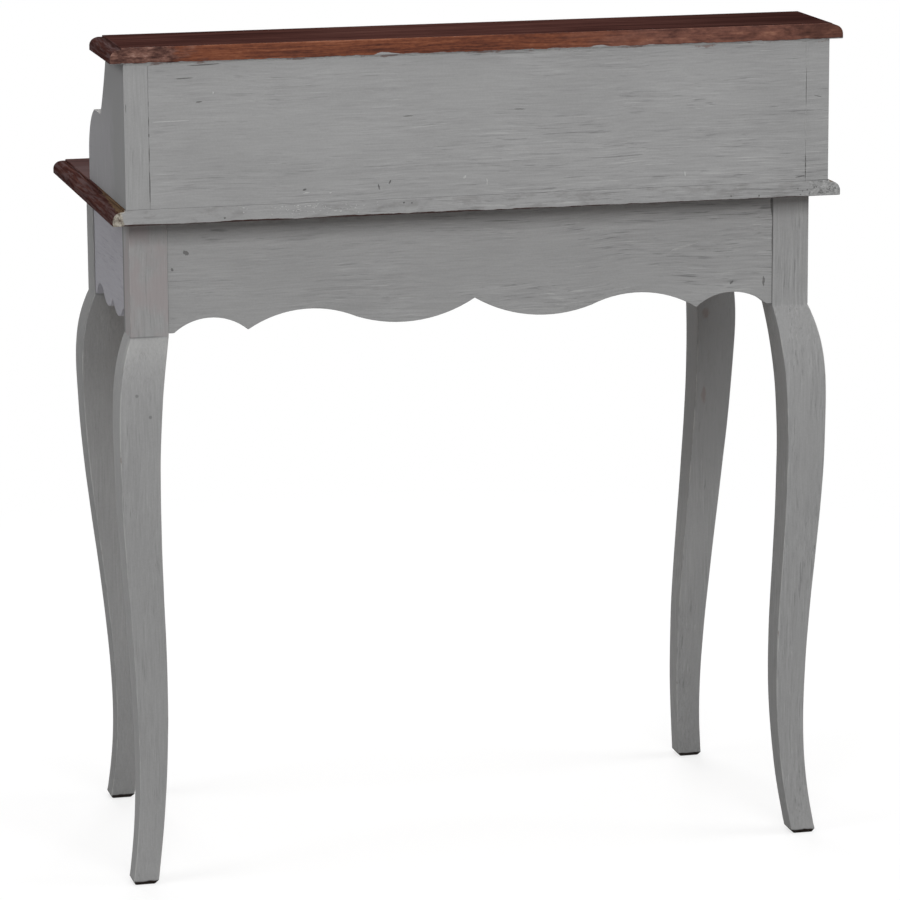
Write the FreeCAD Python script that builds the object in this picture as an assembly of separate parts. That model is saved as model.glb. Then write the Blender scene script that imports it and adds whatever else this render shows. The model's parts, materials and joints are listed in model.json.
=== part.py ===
import FreeCAD, Part
import math
import os

V = FreeCAD.Vector
os.makedirs("parts", exist_ok=True)

# Boards of the top and the hutch top, millimetres
top_width = 800.0
top_depth = 400.0
top_thickness = 17.0
cap_depth = 132.0
cap_thickness = 17.0
cap_rear_overhang = 4.0
cap_side_overhang = 14.0
edge_flat = 5.0
edge_ledge = 2.0
edge_step = 2.0

# Legs
leg_height = 728.0
leg_block = 41.0
side_overhang = 23.0
front_leg_inset = 6.0
rear_overhang = 38.0
front_overhang = 50.0
crease_z = 602.0
knee_z = 490.0
knee_out = 17.0
calf_z = 430.0
calf_in = 14.6
ankle_out_z = 130.0
ankle_out = 0.2
ankle_in_z = 190.0
ankle_in = 8.6
foot_out = 12.0
foot_in = 25.0
front_foot_forward = 28.0
front_foot_inward = 26.0
sole_height = 4.0
sole_inset = 3.0

# Aprons and front rails
apron_thickness = 20.0
apron_depth = 123.5
apron_recess = 1.5
scallop_flat = 6.0
scallop_low = 0.232
scallop_bend = 0.39
scallop_peak = 0.59
scallop_cusp = 0.743
centre_rise = 22.5
bend_rise = 8.5
peak_rise = 18.5
outer_rise = 15.0
side_low = 0.3
side_bend = 0.48
side_peak = 0.7
side_centre_rise = 14.0
side_bend_rise = 6.0
side_peak_rise = 16.0
tenon_thickness = 8.0
tenon_length = 18.0
tenon_shoulder = 5.0
mortise_room = 1.0
rail_height = 18.0
rail_tenon_shoulder = 3.0
desk_opening_height = 70.0
runner_height = 16.0
runner_bearing = 14.0
guide_height = 22.0
kicker_width = 18.0

# Hutch
hutch_setback = 14.0
hutch_height = 154.0
end_thickness = 26.0
end_foot_depth = 231.0
end_nose_height = 23.0
end_nose_bulge = 13.0
ledge_outer = 190.0
ledge_inner = 150.0
ledge_height = 82.0
end_top_depth = 106.0
end_sweep = 3.0
back_thickness = 12.0
back_tongue = 6.0
shelf_thickness = 14.0
floor_thickness = 8.0
housing_depth = 6.0
carcass_front = 188.0
lower_divider = 14.0
upper_divider = 10.0
divider_housing = 3.0
divider_setback = 4.0

# Drawers
slide_gap = 0.5
side_gap = 1.0
head_gap = 1.5
back_gap = 5.0
front_thickness = 18.0
side_thickness = 10.0
side_drop = 3.0
panel_thickness = 4.0
panel_lift = 7.0
panel_groove = 5.0
back_housing = 4.0
back_inset = 8.0
tail_lap = 11.0
tail_share = 0.5
tail_flare = 2.0
desk_tails = 3
letter_tails = 2
desk_knob_spacing = 330.0

# Turned knobs, screwed on from inside the drawer
knob_radius = 12.5
knob_neck = 7.0
knob_neck_length = 10.0
knob_rim = 4.0
knob_crown = 8.0
knob_length = 19.0

# Places that follow from the sizes
depth_all = top_depth + cap_rear_overhang
rear_y = depth_all / 2 - cap_rear_overhang
front_y = rear_y - top_depth
top_z = leg_height + top_thickness
cap_z = top_z + hutch_height
leg_x = top_width / 2 - side_overhang
rear_inner_x = leg_x - leg_block
front_leg_x = leg_x - front_leg_inset
front_inner_x = front_leg_x - leg_block
rear_leg_y = rear_y - rear_overhang
front_leg_y = front_y + front_overhang
apron_base = leg_height - apron_depth
rail_front_y = front_leg_y + apron_recess
rail_back_y = rail_front_y + apron_thickness
apron_rear_y = rear_leg_y - apron_recess
apron_inner_y = apron_rear_y - apron_thickness
apron_inner_x = front_leg_x - apron_recess - apron_thickness
desk_top_z = leg_height - rail_height
desk_floor_z = desk_top_z - desk_opening_height
hutch_width = top_width - 2 * hutch_setback
cap_width = hutch_width + 2 * cap_side_overhang
hutch_inner = hutch_width / 2 - end_thickness
back_inner_y = rear_y - back_thickness
floor_z = top_z + floor_thickness
shelf_z = top_z + ledge_height
shelf_under = shelf_z - shelf_thickness
carcass_y = rear_y - carcass_front
letter_width = (2 * hutch_inner - 2 * lower_divider) / 3
divider_x = (letter_width + lower_divider) / 2


def box(x0, x1, y0, y1, z0, z1):
    return Part.makeBox(x1 - x0, y1 - y0, z1 - z0, V(x0, y0, z0))


def mirrored(shape):
    return shape.mirror(V(0, 0, 0), V(1, 0, 0))


def line(a, b):
    return Part.makeLine(a, b)


def arc(a, b, c):
    return Part.Arc(a, b, c).toShape()


def prism(edges, way):
    return Part.Face(Part.Wire(edges)).extrude(way)


def moulded_board(width, depth, rear, z0, thickness):
    """Board with a stepped quarter-round on both ends and the front, square at the rear."""
    radius = thickness - edge_flat - edge_step
    inset = radius + edge_ledge
    bend = radius * math.sqrt(0.5)
    z_flat = z0 + edge_flat
    z_step = z_flat + radius
    z_top = z0 + thickness
    half = width / 2
    front = rear - depth

    def rounded(edge, way, place):
        bottom = place(edge, z0)
        start = place(edge, z_flat)
        middle = place(edge + way * (radius - bend), z_flat + bend)
        end = place(edge + way * radius, z_step)
        ledge = place(edge + way * inset, z_step)
        top = place(edge + way * inset, z_top)
        return [line(bottom, start), arc(start, middle, end), line(end, ledge), line(ledge, top)]

    def along_x(s, z):
        return V(s, front, z)

    def along_y(s, z):
        return V(-half, s, z)

    ends = rounded(-half, 1, along_x) + rounded(half, -1, along_x)
    ends.append(line(along_x(-half + inset, z_top), along_x(half - inset, z_top)))
    ends.append(line(along_x(-half, z0), along_x(half, z0)))
    nose = rounded(front, 1, along_y)
    nose.append(line(along_y(front + inset, z_top), along_y(rear, z_top)))
    nose.append(line(along_y(rear, z_top), along_y(rear, z0)))
    nose.append(line(along_y(rear, z0), along_y(front, z0)))
    across = prism(Part.__sortEdges__(ends), V(0, depth, 0))
    return across.common(prism(Part.__sortEdges__(nose), V(width, 0, 0)))


def swing(a, b, t):
    return a + (b - a) * (1 - math.cos(math.pi * t)) / 2


def outer_face(z):
    """How far the outer leg face stands out from the block at height z."""
    if z >= knee_z:
        return knee_out * (1 - ((z - knee_z) / (crease_z - knee_z)) ** 3)
    if z >= ankle_out_z:
        return swing(ankle_out, knee_out, (z - ankle_out_z) / (knee_z - ankle_out_z))
    return ankle_out + (foot_out - ankle_out) * (1 - z / ankle_out_z) ** 2


def inner_face(z):
    """How far the inner leg face is drawn outwards from the block at height z."""
    if z >= calf_z:
        return calf_in * (1 - ((z - calf_z) / (crease_z - calf_z)) ** 2.5)
    if z >= ankle_in_z:
        return swing(ankle_in, calf_in, (z - ankle_in_z) / (calf_z - ankle_in_z))
    return ankle_in + (foot_in - ankle_in) * (1 - z / ankle_in_z) ** 2


def curve(points):
    spline = Part.BSplineCurve()
    spline.interpolate(points)
    return spline.toShape()


def leg_outline(inner, outer, way, lean, place):
    """Outline of a leg as drawn on one face of the blank; lean carries the foot outwards."""
    levels = 10
    inside = []
    outside = []
    for i in range(levels + 1):
        z = sole_height + (crease_z - sole_height) * math.sin(math.pi / 2 * i / levels)
        shift = lean * (1 - z / crease_z)
        inside.append(place(inner + way * (inner_face(z) + shift), z))
        outside.append(place(outer + way * (outer_face(z) + shift), z))
    tread_in = place(inner + way * (foot_in + lean + sole_inset), 0)
    tread_out = place(outer + way * (foot_out + lean - sole_inset), 0)
    head_in = place(inner, leg_height)
    head_out = place(outer, leg_height)
    return [
        line(tread_in, tread_out),
        line(tread_out, outside[0]),
        curve(outside),
        line(outside[-1], head_out),
        line(head_out, head_in),
        line(head_in, inside[-1]),
        curve(inside),
        line(inside[0], tread_in),
    ]


def leg(face_x, face_y, way_y, sideways, forward):
    """Right-hand leg, sawn to its outline on two faces of the blank."""
    reach = knee_out + foot_out + abs(forward) + leg_block
    low_y = face_y - leg_block - reach
    low_x = face_x - leg_block - reach
    inner_x = face_x - leg_block
    inner_y = face_y - way_y * leg_block
    side = leg_outline(inner_y, face_y, way_y, forward, lambda s, z: V(low_x, s, z))
    face = leg_outline(inner_x, face_x, 1, sideways, lambda s, z: V(s, low_y, z))
    across = prism(Part.__sortEdges__(face), V(0, 2 * reach + 2 * leg_block, 0))
    return across.common(prism(Part.__sortEdges__(side), V(2 * reach + 2 * leg_block, 0, 0)))


def long_scallop(half, place):
    """Lower edge of the rear apron and the front rail, with cusps at the centre and near the legs."""
    base = apron_base
    end = half - scallop_flat
    cusp = scallop_cusp * half
    edges = []
    for way in (-1, 1):
        centre = place(0, base + centre_rise)
        low = place(way * scallop_low * half, base)
        bend = place(way * scallop_bend * half, base + bend_rise)
        peak = place(way * scallop_peak * half, base + peak_rise)
        side = place(way * cusp, base)
        crest = place(way * (cusp + end) / 2, base + outer_rise)
        stop = place(way * end, base)
        edges += [arc(centre, low, bend), arc(bend, peak, side), arc(side, crest, stop)]
        edges.append(line(stop, place(way * half, base)))
    return edges


def short_scallop(half, place):
    """Lower edge of a side apron: two arches that meet in a cusp at the centre."""
    base = apron_base
    edges = []
    for way in (-1, 1):
        centre = place(0, base + side_centre_rise)
        low = place(way * side_low * half, base)
        bend = place(way * side_bend * half, base + side_bend_rise)
        peak = place(way * side_peak * half, base + side_peak_rise)
        stop = place(way * (half - scallop_flat), base)
        edges += [arc(centre, low, bend), arc(bend, peak, stop)]
        edges.append(line(stop, place(way * half, base)))
    return edges


def apron_board(lower_edge, half, top, place, way):
    edges = lower_edge(half, place)
    edges.append(line(place(half, apron_base), place(half, top)))
    edges.append(line(place(half, top), place(-half, top)))
    edges.append(line(place(-half, top), place(-half, apron_base)))
    return prism(Part.__sortEdges__(edges), way)


def x_tenon(x, y0, z0, z1, room=0.0):
    """Tenon on the right-hand end, at x, of a board that runs between the left and right legs."""
    y = y0 + (apron_thickness - tenon_thickness) / 2
    return box(x, x + tenon_length + room, y, y + tenon_thickness, z0, z1)


def y_tenons(room=0.0):
    x1 = front_leg_x - apron_recess - (apron_thickness - tenon_thickness) / 2
    x0 = x1 - tenon_thickness
    z0 = apron_base + tenon_shoulder
    z1 = leg_height - tenon_shoulder
    front = front_leg_y + leg_block
    rear = rear_leg_y - leg_block
    return [
        box(x0, x1, front - tenon_length - room, front, z0, z1),
        box(x0, x1, rear, rear + tenon_length + room, z0, z1),
    ]


def rear_tenon(room=0.0):
    z1 = leg_height - tenon_shoulder
    return x_tenon(rear_inner_x, apron_inner_y, apron_base + tenon_shoulder, z1, room)


def lower_tenon(room=0.0):
    z1 = desk_floor_z - tenon_shoulder
    return x_tenon(front_inner_x, rail_front_y, apron_base + tenon_shoulder, z1, room)


def upper_tenon(room=0.0):
    z1 = leg_height - rail_tenon_shoulder
    return x_tenon(front_inner_x, rail_front_y, desk_top_z + rail_tenon_shoulder, z1, room)


def rear_leg():
    shape = leg(leg_x, rear_leg_y, 1, 0.0, 0.0)
    return shape.cut([rear_tenon(mortise_room), y_tenons(mortise_room)[1]])


def front_leg():
    shape = leg(front_leg_x, front_leg_y, -1, -front_foot_inward, front_foot_forward)
    sockets = [lower_tenon(mortise_room), upper_tenon(mortise_room), y_tenons(mortise_room)[0]]
    return shape.cut(sockets)


def rear_apron():
    way = V(0, apron_thickness, 0)
    board = apron_board(long_scallop, rear_inner_x, leg_height, lambda s, z: V(s, apron_inner_y, z), way)
    return board.fuse([rear_tenon(), mirrored(rear_tenon())])


def side_apron():
    start = front_leg_y + leg_block
    stop = rear_leg_y - leg_block
    middle = (start + stop) / 2
    half = (stop - start) / 2
    way = V(apron_thickness, 0, 0)
    board = apron_board(short_scallop, half, leg_height, lambda s, z: V(apron_inner_x, middle + s, z), way)
    return board.fuse(y_tenons())


def lower_rail():
    way = V(0, apron_thickness, 0)
    board = apron_board(long_scallop, front_inner_x, desk_floor_z, lambda s, z: V(s, rail_front_y, z), way)
    return board.fuse([lower_tenon(), mirrored(lower_tenon())])


def upper_rail():
    board = box(-front_inner_x, front_inner_x, rail_front_y, rail_back_y, desk_top_z, leg_height)
    return board.fuse([upper_tenon(), mirrored(upper_tenon())])


def runner():
    """Bearer under the drawer side, notched round the leg blocks, with a guide beside it."""
    z0 = desk_floor_z - runner_height
    start = front_leg_y + leg_block
    stop = rear_leg_y - leg_block
    x = front_inner_x
    bearing = box(x - runner_bearing, x, rail_back_y, apron_inner_y, z0, desk_floor_z)
    return bearing.fuse(box(x, apron_inner_x, start, stop, z0, desk_floor_z + guide_height))


def kicker():
    x = front_inner_x
    return box(x - kicker_width, x, rail_back_y, apron_inner_y, desk_top_z, leg_height)


def swept_front(depth_low, depth_high, x):
    """Hollow sweep of the upper tier, from the shelf up to the hutch top."""
    low = V(x, rear_y - depth_low, shelf_z)
    high = V(x, rear_y - depth_high, cap_z)
    middle = V(x, rear_y - (depth_low + depth_high) / 2 + end_sweep, (shelf_z + cap_z) / 2)
    return arc(low, middle, high)


def hutch_end():
    x = hutch_inner
    foot = V(x, rear_y - end_foot_depth, top_z)
    nose = V(x, rear_y - end_foot_depth, top_z + end_nose_height)
    ledge = V(x, rear_y - ledge_outer, shelf_z)
    chord = (end_foot_depth + ledge_outer) / 2
    rise = (nose.z + shelf_z) / 2
    bulge = V(x, rear_y - chord - end_nose_bulge * 0.7, rise + end_nose_bulge * 0.7)
    low = V(x, rear_y - ledge_inner, shelf_z)
    high = V(x, rear_y - end_top_depth, cap_z)
    edges = [
        line(foot, nose),
        arc(nose, bulge, ledge),
        line(ledge, low),
        swept_front(ledge_inner, end_top_depth, x),
        line(high, V(x, rear_y, cap_z)),
        line(V(x, rear_y, cap_z), V(x, rear_y, top_z)),
        line(V(x, rear_y, top_z), foot),
    ]
    panel = prism(edges, V(end_thickness, 0, 0))
    return panel.cut([hutch_shelf_blank(), hutch_floor_blank(), hutch_back()])


def hutch_back():
    tongue = hutch_inner + back_tongue
    y0 = back_inner_y + back_thickness / 4
    y1 = rear_y - back_thickness / 4
    board = box(-hutch_inner, hutch_inner, back_inner_y, rear_y, top_z, cap_z)
    return board.fuse(box(-tongue, tongue, y0, y1, top_z, cap_z))


def hutch_shelf_blank():
    half = hutch_inner + housing_depth
    return box(-half, half, carcass_y, back_inner_y, shelf_under, shelf_z)


def hutch_floor_blank():
    half = hutch_inner + housing_depth
    return box(-half, half, carcass_y, back_inner_y, top_z, floor_z)


def lower_divider_board():
    half = lower_divider / 2
    z0 = floor_z - divider_housing
    z1 = shelf_under + divider_housing
    return box(divider_x - half, divider_x + half, carcass_y, back_inner_y, z0, z1)


def upper_divider_board():
    x = divider_x - upper_divider / 2
    z0 = shelf_z - divider_housing
    low = ledge_inner - divider_setback
    high = end_top_depth - divider_setback
    edges = [
        line(V(x, rear_y - low, z0), V(x, rear_y - low, shelf_z)),
        swept_front(low, high, x),
        line(V(x, rear_y - high, cap_z), V(x, back_inner_y, cap_z)),
        line(V(x, back_inner_y, cap_z), V(x, back_inner_y, z0)),
        line(V(x, back_inner_y, z0), V(x, rear_y - low, z0)),
    ]
    return prism(edges, V(upper_divider, 0, 0))


def hutch_shelf():
    lower = lower_divider_board()
    upper = upper_divider_board()
    return hutch_shelf_blank().cut([lower, mirrored(lower), upper, mirrored(upper)])


def hutch_floor():
    lower = lower_divider_board()
    return hutch_floor_blank().cut([lower, mirrored(lower)])


def dovetails(x0, x1, y, z0, z1, count):
    """Tails on the front end of a drawer side, wider towards the drawer front."""
    pitch = (z1 - z0) / count
    root = pitch * tail_share / 2
    tip = root + tail_flare
    tails = []
    for i in range(count):
        z = z0 + (i + 0.5) * pitch
        end = y - tail_lap
        corners = [V(x0, y, z - root), V(x0, end, z - tip), V(x0, end, z + tip), V(x0, y, z + root)]
        outline = Part.makePolygon(corners + corners[:1])
        tails.append(Part.Face(outline).extrude(V(x1 - x0, 0, 0)))
    return tails


def knob(x, y, z):
    """Turned knob standing on the drawer front at y."""
    rim = knob_neck_length + knob_rim
    profile = [
        V(0, 0, 0),
        V(knob_neck, 0, 0),
        V(knob_neck, -knob_neck_length, 0),
        V(knob_radius, -knob_neck_length, 0),
        V(knob_radius, -rim, 0),
        V(knob_crown, -knob_length, 0),
        V(0, -knob_length, 0),
        V(0, 0, 0),
    ]
    shape = Part.Face(Part.makePolygon(profile)).revolve(V(0, 0, 0), V(0, 1, 0), 360)
    shape.translate(V(x, y, z))
    return shape


def drawer(x, width, z0, height, y, depth, tails, knobs):
    """Pieces of one inset drawer, by name; knobs are offsets from its middle."""
    half = width / 2 - side_gap
    inner = half - side_thickness
    low = z0 + slide_gap
    high = z0 + height - head_gap
    back_of_front = y + front_thickness
    end = y + depth
    side_high = high - side_drop
    panel_z = low + panel_lift
    panel_top = panel_z + panel_thickness
    y_back = end - back_inset - side_thickness
    groove = inner + panel_groove
    panel = box(x - groove, x + groove, back_of_front - panel_groove, end, panel_z, panel_top)
    housing = inner + back_housing
    rear = box(x - housing, x + housing, y_back, y_back + side_thickness, panel_top, side_high)
    front = box(x - half, x + half, y, back_of_front, low, high).cut(panel)
    pieces = {}
    for name, x0 in (("left", x - half), ("right", x + inner)):
        x1 = x0 + side_thickness
        joint = dovetails(x0, x1, back_of_front, low, side_high, tails)
        side = box(x0, x1, back_of_front, end, low, side_high).fuse(joint)
        pieces["side_" + name] = side.cut([panel, rear])
        front = front.cut(joint)
    middle = (low + high) / 2
    for name, offset in knobs:
        pieces[name] = knob(x + offset, y, middle)
    pieces["front"] = front
    pieces["back"] = rear
    pieces["bottom"] = panel
    return pieces


def save(name, shape):
    solid = shape.removeSplitter()
    if len(solid.Solids) != 1 or not solid.isValid():
        raise ValueError(name + " is not one valid solid")
    solid.Solids[0].exportStep("parts/" + name + ".step")


def save_pair(name, right):
    save(name + "_right", right)
    save(name + "_left", mirrored(right))


save_pair("leg_rear", rear_leg())
save_pair("leg_front", front_leg())
save_pair("apron", side_apron())
save_pair("runner", runner())
save_pair("kicker", kicker())
save("apron_rear", rear_apron())
save("rail_lower", lower_rail())
save("rail_upper", upper_rail())
save("writing_top", moulded_board(top_width, top_depth, rear_y, leg_height, top_thickness))

save_pair("hutch_end", hutch_end())
save_pair("divider_lower", lower_divider_board())
save_pair("divider_upper", upper_divider_board())
save("hutch_back", hutch_back())
save("hutch_shelf", hutch_shelf())
save("hutch_floor", hutch_floor())
save("hutch_top", moulded_board(cap_width, cap_depth, rear_y + cap_rear_overhang, cap_z, cap_thickness))

desk_depth = apron_inner_y - back_gap - rail_front_y
desk_knobs = [("knob_left", -desk_knob_spacing / 2), ("knob_right", desk_knob_spacing / 2)]
desk_width = 2 * front_inner_x
desk_opening = (0, desk_width, desk_floor_z, desk_opening_height)
desk = drawer(*desk_opening, rail_front_y, desk_depth, desk_tails, desk_knobs)
for piece in desk:
    save("desk_drawer_" + piece, desk[piece])

letter_depth = back_inner_y - back_gap - carcass_y
letter_height = shelf_under - floor_z
letter_pitch = letter_width + lower_divider
letter_knobs = [("knob", 0)]
for place, x in (("left", -letter_pitch), ("middle", 0), ("right", letter_pitch)):
    opening = (x, letter_width, floor_z, letter_height)
    letter = drawer(*opening, carcass_y, letter_depth, letter_tails, letter_knobs)
    for piece in letter:
        save("letter_" + place + "_" + piece, letter[piece])
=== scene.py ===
import json
import math
import random

import bmesh
import bpy
from mathutils import Matrix, Vector, noise

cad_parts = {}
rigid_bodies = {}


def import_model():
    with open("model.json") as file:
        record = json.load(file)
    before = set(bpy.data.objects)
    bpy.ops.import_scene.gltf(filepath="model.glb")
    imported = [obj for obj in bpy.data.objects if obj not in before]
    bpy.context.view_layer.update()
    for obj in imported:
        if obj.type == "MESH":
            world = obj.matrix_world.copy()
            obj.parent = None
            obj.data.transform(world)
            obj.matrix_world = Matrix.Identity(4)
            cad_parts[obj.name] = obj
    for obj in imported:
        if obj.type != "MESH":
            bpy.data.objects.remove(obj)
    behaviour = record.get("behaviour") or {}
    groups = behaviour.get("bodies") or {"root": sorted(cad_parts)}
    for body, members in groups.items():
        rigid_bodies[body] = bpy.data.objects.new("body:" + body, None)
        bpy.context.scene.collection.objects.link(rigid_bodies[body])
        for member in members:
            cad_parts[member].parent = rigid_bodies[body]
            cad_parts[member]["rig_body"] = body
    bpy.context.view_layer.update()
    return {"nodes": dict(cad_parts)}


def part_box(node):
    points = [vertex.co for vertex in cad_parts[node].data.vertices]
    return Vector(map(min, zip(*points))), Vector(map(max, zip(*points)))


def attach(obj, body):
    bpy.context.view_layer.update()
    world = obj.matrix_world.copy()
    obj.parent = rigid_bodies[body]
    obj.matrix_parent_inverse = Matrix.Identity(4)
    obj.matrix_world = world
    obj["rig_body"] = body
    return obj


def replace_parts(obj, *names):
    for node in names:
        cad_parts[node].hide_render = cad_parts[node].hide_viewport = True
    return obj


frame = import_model()
nodes = frame["nodes"]

# Camera at the photograph's angle: radians, metres, millimetres of lens and sensor
VIEW_AZIMUTH = 2.9009383
VIEW_ELEVATION = 0.2095057
VIEW_ROLL = -0.0061676
VIEW_TARGET = Vector((-0.01008, 0.0, 0.42592))
VIEW_DISTANCE = 5.05467
VIEW_LENS = 180.094
VIEW_SENSOR = 36.0

# Places on the desk, metres
TOP_LOW, TOP_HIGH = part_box("writing_top")
CAP_LOW, CAP_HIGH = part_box("hutch_top")
APRON_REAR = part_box("apron_rear")[1].y
APRON_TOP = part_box("apron_rear")[1].z
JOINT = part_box("hutch_end_right")[0].x
HUTCH_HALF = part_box("hutch_end_right")[1].x
REAR = TOP_HIGH.y
HALF = TOP_HIGH.x

# Legs: crease under the square block, inner, outer and front faces of the rear right block, sole
BLOCK_FOOT = 0.602
BLOCK_SIDE = 0.336
BLOCK_OUT = 0.377
BLOCK_FRONT = 0.119
SOLE = 0.004

# Paint and wood colours, linear red, green and blue
PAINT_DARK = (0.238, 0.238, 0.238)
PAINT_LIGHT = (0.338, 0.338, 0.337)
# Lighter copy of the grey paint with a cool tint, for the side aprons: painted light
COOL_LIT_DARK = (0.262, 0.258, 0.28)
COOL_LIT_LIGHT = (0.372, 0.366, 0.397)
# Darker copy of the grey paint for the hutch ends' outer sides: painted shade
END_SHADED_DARK = (0.198, 0.196, 0.203)
END_SHADED_LIGHT = (0.284, 0.281, 0.291)
# Darker copy of the grey paint: painted shade on leg sides and on a leg's upper half
SHADED_PAINT_DARK = (0.196, 0.196, 0.196)
SHADED_PAINT_LIGHT = (0.28, 0.28, 0.279)
# Dark of paint cracks and knocks, also laid as painted shade in a crease and a gap
CRACK_AND_SHADE = (0.105, 0.105, 0.107)
# Light tone on raised ridges of paint: painted highlight
RIDGE_HIGHLIGHT = (0.4, 0.4, 0.395)
RIDGE_HIGHLIT_DARK = (0.25, 0.25, 0.25)
# Lighter copy of the paint for raised drips and speckles: painted highlight
DRIP_HIGHLIT_DARK = (0.3, 0.3, 0.3)
DRIP_HIGHLIGHT = (0.46, 0.46, 0.455)
# Lighter copy of the paint for the bead under the hutch top: painted highlight
BEAD_HIGHLIT_DARK = (0.23, 0.23, 0.23)
BEAD_HIGHLIGHT = (0.52, 0.52, 0.515)
HOLE_DARK = (0.1, 0.099, 0.098)
HOLE_LIGHT = (0.21, 0.209, 0.207)
PRIMER = (0.43, 0.43, 0.42)
THIN_PAINT = (0.292, 0.262, 0.262)
CORNER_PAINTED_SHADE = (0.19, 0.191, 0.19)
LAPPED_PAINT = (0.27, 0.27, 0.27)
SHOWN_WOOD = (0.105, 0.062, 0.045)
SOLE_WOOD = (0.018, 0.013, 0.011)
SMEAR = (0.17, 0.115, 0.105)
# Grime, also laid as painted shade under the writing top and on the hutch ledges
GRIME_AND_SHADE = (0.13, 0.124, 0.12)
# Brown line at the writing top's lower edge, also laid as painted shadow at the hutch top's foot
LAP_LINE_AND_GAP_SHADOW = (0.035, 0.017, 0.015)
DUST = (0.125, 0.082, 0.048)
CRUST = (
    (0.34, (0.13, 0.13, 0.13)),
    (0.44, (0.25, 0.25, 0.249)),
    (0.56, (0.3, 0.3, 0.298)),
    (0.68, (0.46, 0.46, 0.455)),
)
CHIP = (
    (0.3, (0.095, 0.072, 0.06)),
    (0.42, (0.205, 0.182, 0.152)),
    (0.56, (0.32, 0.295, 0.25)),
    (0.72, (0.5, 0.47, 0.41)),
)


def along(grain, lengthwise, across):
    """Noise scale for each axis, stretched along the grain."""
    return tuple(lengthwise if axis == grain else across for axis in "XYZ")


class Value:
    """Output of a shader node; arithmetic with it adds further nodes."""

    def __init__(self, shader, socket):
        self.shader = shader
        self.socket = socket

    def math(self, operation, other=0.0):
        return self.shader.add("ShaderNodeMath", {0: self, 1: other}, operation=operation)

    def __add__(self, other):
        return self.math("ADD", other)

    def __sub__(self, other):
        return self.math("SUBTRACT", other)

    def __mul__(self, other):
        return self.math("MULTIPLY", other)

    def __abs__(self):
        return self.math("ABSOLUTE")

    def most(self, other):
        return self.math("MAXIMUM", other)

    def fade(self, start, stop):
        """Smooth step that is 0 at start and 1 at stop."""
        inputs = {"Value": self, "From Min": start, "From Max": stop}
        return self.shader.add("ShaderNodeMapRange", inputs, interpolation_type="SMOOTHSTEP")

    def ramp(self, stops):
        """Colour that runs through stops of (value, colour)."""
        node = self.shader.node("ShaderNodeValToRGB", {"Fac": self})
        band = node.color_ramp.elements
        while len(band) < len(stops):
            band.new(0.5)
        for element, (place, colour) in zip(band, stops):
            element.position = place
            element.color = (*colour, 1.0)
        return Value(self.shader, node.outputs["Color"])


class Shader:
    """Nodes of a material or of the world."""

    def __init__(self, owner):
        owner.use_nodes = True
        self.tree = owner.node_tree

    def fill(self, node, inputs):
        """Join values to inputs of a node, or set the inputs to constants."""
        for key, value in inputs.items():
            socket = node.inputs[key]
            if isinstance(value, Value):
                self.tree.links.new(value.socket, socket)
            else:
                socket.default_value = (*value, 1.0) if socket.type == "RGBA" else value

    def node(self, kind, inputs, **settings):
        """New node with its settings and inputs."""
        made = self.tree.nodes.new(kind)
        for key, value in settings.items():
            setattr(made, key, value)
        self.fill(made, inputs)
        return made

    def add(self, kind, inputs, output=0, **settings):
        """One output of a new node."""
        return Value(self, self.node(kind, inputs, **settings).outputs[output])


# Direction in which one noise is shifted away from another
SHIFT_WAY = (1.0, 1.7, 2.3)


class Coat(Shader):
    """Procedural finish, built from the place of a point on the desk."""

    def __init__(self, name):
        self.material = bpy.data.materials.new(name)
        super().__init__(self.material)
        self.surface = self.tree.nodes["Principled BSDF"]
        self.place = self.add("ShaderNodeTexCoord", {}, "Object")
        parts = self.node("ShaderNodeSeparateXYZ", {"Vector": self.place}).outputs
        self.x, self.y, self.z = (Value(self, part) for part in parts)

    def spot(self, x, z, half_wide, half_high):
        """Squared distance from a place on a rear face, 1 on the rim of an ellipse round it."""
        off_x = (self.x - x) * (1.0 / half_wide)
        off_z = (self.z - z) * (1.0 / half_high)
        return off_x * off_x + off_z * off_z

    def noise(self, scale, detail=3.0, roughness=0.55, bend=0.0, shift=0.0, place=None):
        """Noise of so many spots per metre, one number for every axis or one for each."""
        mapping = {
            "Vector": place or self.place,
            "Scale": scale if isinstance(scale, tuple) else (scale,) * 3,
            "Location": tuple(shift * way for way in SHIFT_WAY),
        }
        mapped = self.add("ShaderNodeMapping", mapping)
        inputs = {"Vector": mapped, "Scale": 1.0, "Detail": detail, "Roughness": roughness}
        return self.add("ShaderNodeTexNoise", {**inputs, "Distortion": bend}, "Fac")

    def wander(self, scale, amount, start=None):
        """The place, or start, pushed about by slow noise, so that strokes aren't ruled lines."""
        inputs = {"Vector": self.place, "Scale": scale, "Detail": 2.0}
        drift = self.add("ShaderNodeTexNoise", inputs, "Color")
        centred = self.add("ShaderNodeVectorMath", {0: drift, 1: (0.5, 0.5, 0.5)}, operation="SUBTRACT")
        pushed = self.add("ShaderNodeVectorMath", {0: centred, "Scale": amount}, operation="SCALE")
        return self.add("ShaderNodeVectorMath", {0: start or self.place, 1: pushed}, operation="ADD")

    def mix(self, factor, a, b):
        return self.add("ShaderNodeMix", {0: factor, 6: a, 7: b}, 2, data_type="RGBA")

    def lay(self, layer, cover):
        """Lay a colour over what is there, as much as the cover says."""
        self.colour = self.mix(cover, self.colour, layer)

    def edge(self):
        """1 on the middle of an eased arris, where wear shows first."""
        return self.add("ShaderNodeAttribute", {}, "Fac", attribute_name="edge")

    def finish(self, roughness, height, strength, depth, shine):
        """Join colour, roughness and bump to the shader; the material is then done."""
        bump = self.add("ShaderNodeBump", {"Height": height, "Strength": strength, "Distance": depth})
        inputs = {"Base Color": self.colour, "Roughness": roughness, "Normal": bump}
        self.fill(self.surface, {**inputs, "Specular IOR Level": shine})
        return self.material


# Heights over which a bare sole gives way to paint
SOLE_BARE = (0.0052, 0.0038)


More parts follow.
